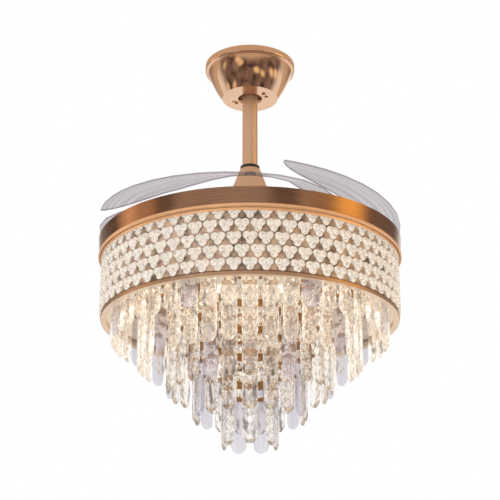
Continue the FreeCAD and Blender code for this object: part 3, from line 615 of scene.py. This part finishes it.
def hang_bars(number, radius, foot, spins, every, shift):
    """Plain bars here and there among faceted ones, the same to the left and the right."""
    count = len(spins)
    away = [min(k, count - k) for k in range(count)]
    plain = [spin for spin, steps in zip(spins, away) if steps and (steps + shift) % every == 0]
    cut = [spin for spin in spins if spin not in plain]
    piece(f"plain_bars_{number}", spun(*bar(radius, foot), plain), ["crystal_prism"],
          [f"prism_tier_{number}"])
    # Lower tiers take the darker copy of the crystal: painted shade.
    finish = "crystal_faceted" if number < FIRST_SHADED_TIER else "crystal_low_faceted"
    piece(f"faceted_bars_{number}", spun(*faceted_bar(radius, foot), cut), [finish])


def hang_strands(number, radius, low, step, beads, spins):
    """Strands of beads from the bars' tops to the plate, a few beads in another finish."""
    strand = joined([bead(radius, low + step * (k + 0.5)) for k in range(beads)])
    points, faces = spun(*strand, spins)
    strands = piece(f"crystal_strands_{number}", (points, faces), BEAD_FINISHES,
                    [f"bead_strands_{number}"])
    total = beads * len(spins)
    sides = len(faces) // total
    picks = random.choices(range(len(BEAD_FINISHES)), BEAD_CHANCES, k=total)
    strands.data.polygons.foreach_set("material_index", [picks[k // sides] for k in range(len(faces))])


def hang_clips(number, radius, low, step, beads, spins):
    """Metal clips at both ends of each strand and at every other joint, starting at either of two."""
    joints = [low + step * k for k in range(1, beads)]
    ends = [block((radius, 0, PLATE_LEVEL - PLATE_CLIP_DROP), PLATE_CLIP), block((radius, 0, low), BAR_CLIP)]
    picks = [random.randint(0, 1) for _ in spins]
    clips = []
    for kind in (0, 1):
        clipped = [block((radius, 0, z), JOINT_CLIP) for z in joints[kind::2]]
        chosen = [spin for spin, pick in zip(spins, picks) if pick == kind]
        clips.append(spun(*joined(clipped + ends), chosen))
    piece(f"crystal_clips_{number}", joined(clips), ["clip_gold"])


def build_tiers():
    """Rings of bars, each bar on a strand of beads with metal clips."""
    for number, (radius, foot, count, every, shift) in enumerate(TIERS, start=1):
        spins = [-90 + 360.0 * k / count for k in range(count)]
        low = foot + BAR_LENGTH
        length = PLATE_LEVEL - low
        beads = max(1, round(length / BEAD_SPACING))
        step = length / beads
        hang_bars(number, radius, foot, spins, every, shift)
        hang_strands(number, radius, low, step, beads, spins)
        hang_clips(number, radius, low, step, beads, spins)


# Studio. Panels are (bearing from the front in degrees, colour), and the belt is (height, share).
PANELS = (
    (-180, (1.20, 1.15, 1.10)), (-150, (0.40, 0.34, 0.30)), (-118, (0.18, 0.13, 0.11)),
    (-109, (1.10, 0.76, 0.45)), (-99, (1.90, 1.25, 0.70)), (-90, (1.00, 0.68, 0.42)),
    (-76, (0.95, 0.62, 0.36)), (-70, (0.22, 0.17, 0.14)), (-60, (0.26, 0.20, 0.17)),
    (-52, (0.80, 0.68, 0.58)), (-34, (0.72, 0.62, 0.54)), (-10, (0.82, 0.72, 0.64)),
    (10, (0.78, 0.68, 0.60)), (18, (0.26, 0.20, 0.17)), (32, (0.26, 0.20, 0.17)),
    (39, (0.85, 0.68, 0.52)), (52, (0.72, 0.50, 0.30)), (62, (1.0, 0.64, 0.30)),
    (70, (2.3, 1.40, 0.36)), (80, (2.7, 1.62, 0.38)), (88, (2.0, 1.20, 0.36)),
    (97, (0.42, 0.30, 0.22)), (140, (0.26, 0.20, 0.17)), (158, (1.20, 1.15, 1.10)),
    (179, (1.20, 1.15, 1.10)),
)
BELT = ((0.10, 0), (0.24, 1), (0.43, 1), (0.47, 0))
WALL = (0.66, 0.51, 0.375)
DIM = ((0.04, 0.025, 0.025), (0.36, 0.26, 0.21))
GLINT = (1.1, 0.86, 0.55)
FAR_FLOOR = (0.98, 0.93, 0.88)
SEEN_THROUGH = (0.97, 0.96, 0.97)
SOFT_LIGHT = (0.75, 0.75, 0.75)
FLATTENED = (1, 1, 3)


def room_below(tree, depth):
    """Dim patches with soft lights in front and pale floor behind, for directions that point down."""
    patches = noise(tree, 2.4, FLATTENED, 2.0, "Generated")
    dim = blend(tree, spread(tree, patches, 0, 1), *DIM)
    spots = tree.nodes.new("ShaderNodeTexVoronoi")
    spots.inputs["Scale"].default_value = 1.5
    tree.links.new(mapped(tree, FLATTENED, "Generated"), spots.inputs["Vector"])
    glints = ranged(tree, spots.outputs["Distance"], 0.36, 0.08, smooth=True)
    lights = blend(tree, glints, dim, GLINT)
    return blend(tree, ranged(tree, depth, -0.2, 0.35, smooth=True), lights, FAR_FLOOR)


def room_walls(tree, side, depth, height):
    """Plain walls with a belt of pale and dark panels round the room."""
    bearing = calculated(tree, "ARCTAN2", side, calculated(tree, "MULTIPLY", depth, -1))
    around = ranged(tree, bearing, -math.pi, math.pi)
    panels = ramp(tree, around, [(degrees / 360 + 0.5, color) for degrees, color in PANELS])
    belt = ramp(tree, ranged(tree, height, -1, 1), [(level / 2 + 0.5, (share,) * 3) for level, share in BELT])
    return blend(tree, belt, WALL, panels)


def build_world():
    """White to the camera and through clear pieces, and a studio of panels in reflections."""
    world = bpy.data.worlds.new("studio")
    scene.world = world
    world.use_nodes = True
    tree = world.node_tree
    tree.nodes.clear()
    side, depth, height = axes(tree, coordinates(tree, "Generated"))
    squared = calculated(tree, "MULTIPLY", side, side)
    lowered = calculated(tree, "MULTIPLY_ADD", squared, -0.24, height)
    upward = ranged(tree, lowered, -0.28, -0.18, smooth=True)
    room = blend(tree, upward, room_below(tree, depth), room_walls(tree, side, depth, height))
    behind = ranged(tree, depth, 0.2, 0.6, 0.85, 1.0, smooth=True)
    through = blend(tree, behind, room, SEEN_THROUGH)
    rays = tree.nodes.new("ShaderNodeLightPath").outputs
    color = blend(tree, rays["Is Glossy Ray"], SOFT_LIGHT, room)
    color = blend(tree, rays["Is Transmission Ray"], color, through)
    color = blend(tree, rays["Is Camera Ray"], color, WHITE)
    background = tree.nodes.new("ShaderNodeBackground")
    tree.links.new(color, background.inputs["Color"])
    output = tree.nodes.new("ShaderNodeOutputWorld")
    tree.links.new(background.outputs["Background"], output.inputs["Surface"])


def build_floor():
    """A pale floor far below, plain white to the camera."""
    side, level = 60, -4.0
    corners = [(-side, -side, level), (side, -side, level), (side, side, level), (-side, side, level)]
    mesh = bpy.data.meshes.new("floor")
    mesh.from_pydata(corners, [], [[0, 1, 2, 3]])
    material, tree, shader = new_finish("floor", (0.9, 0.9, 0.9), 0.7)
    white = tree.nodes.new("ShaderNodeEmission")
    rays = tree.nodes.new("ShaderNodeLightPath")
    mixed_surface(tree, rays.outputs["Is Camera Ray"], shader.outputs["BSDF"], white.outputs["Emission"])
    mesh.materials.append(material)
    floor = bpy.data.objects.new("floor", mesh)
    floor.visible_glossy = False
    scene.collection.objects.link(floor)


def build_camera():
    data = bpy.data.cameras.new("camera")
    data.lens = 92.7
    data.sensor_width = 36
    camera = bpy.data.objects.new("camera", data)
    camera.location = (0, -1.999, -1.1088)
    camera.rotation_euler = (math.radians(110.93), 0, 0)
    scene.collection.objects.link(camera)
    scene.camera = camera


LAMP_TARGET = (0, 0, -0.38)
LAMPS = {
    "key": dict(place=(-1.5, -1.8, 0.3), size=(1.2, 1.2), power=40, color=(1, 0.98, 0.96)),
    "warm_side": dict(place=(1.6, -1.2, -0.5), size=(0.5, 0.9), power=14, color=(1, 0.72, 0.42)),
    "back": dict(place=(0.6, 1.9, 0.1), size=(1.2, 1.0), power=25, color=(1, 1, 1)),
    "below": dict(place=(0.2, -0.9, -1.7), size=(0.8, 0.8), power=10, color=(1, 0.96, 0.92)),
}


def build_lamp(name, place, size, power, color):
    """A soft lamp aimed at the drum, which doesn't show in metal or glass."""
    light = bpy.data.lights.new(name, "AREA")
    light.shape = "RECTANGLE"
    light.size, light.size_y = size
    light.energy = power
    light.color = color
    lamp = bpy.data.objects.new(name, light)
    lamp.location = place
    aim = Vector(LAMP_TARGET) - Vector(place)
    lamp.rotation_euler = aim.to_track_quat("-Z", "Y").to_euler()
    lamp.visible_glossy = False
    lamp.visible_transmission = False
    scene.collection.objects.link(lamp)


dress_nodes()
build_lip()
build_lining()
build_trefoils()
build_tiers()
build_world()
build_floor()
build_camera()
for lamp_name, lamp_settings in LAMPS.items():
    build_lamp(lamp_name, **lamp_settings)
scene.view_settings.view_transform = "Standard"
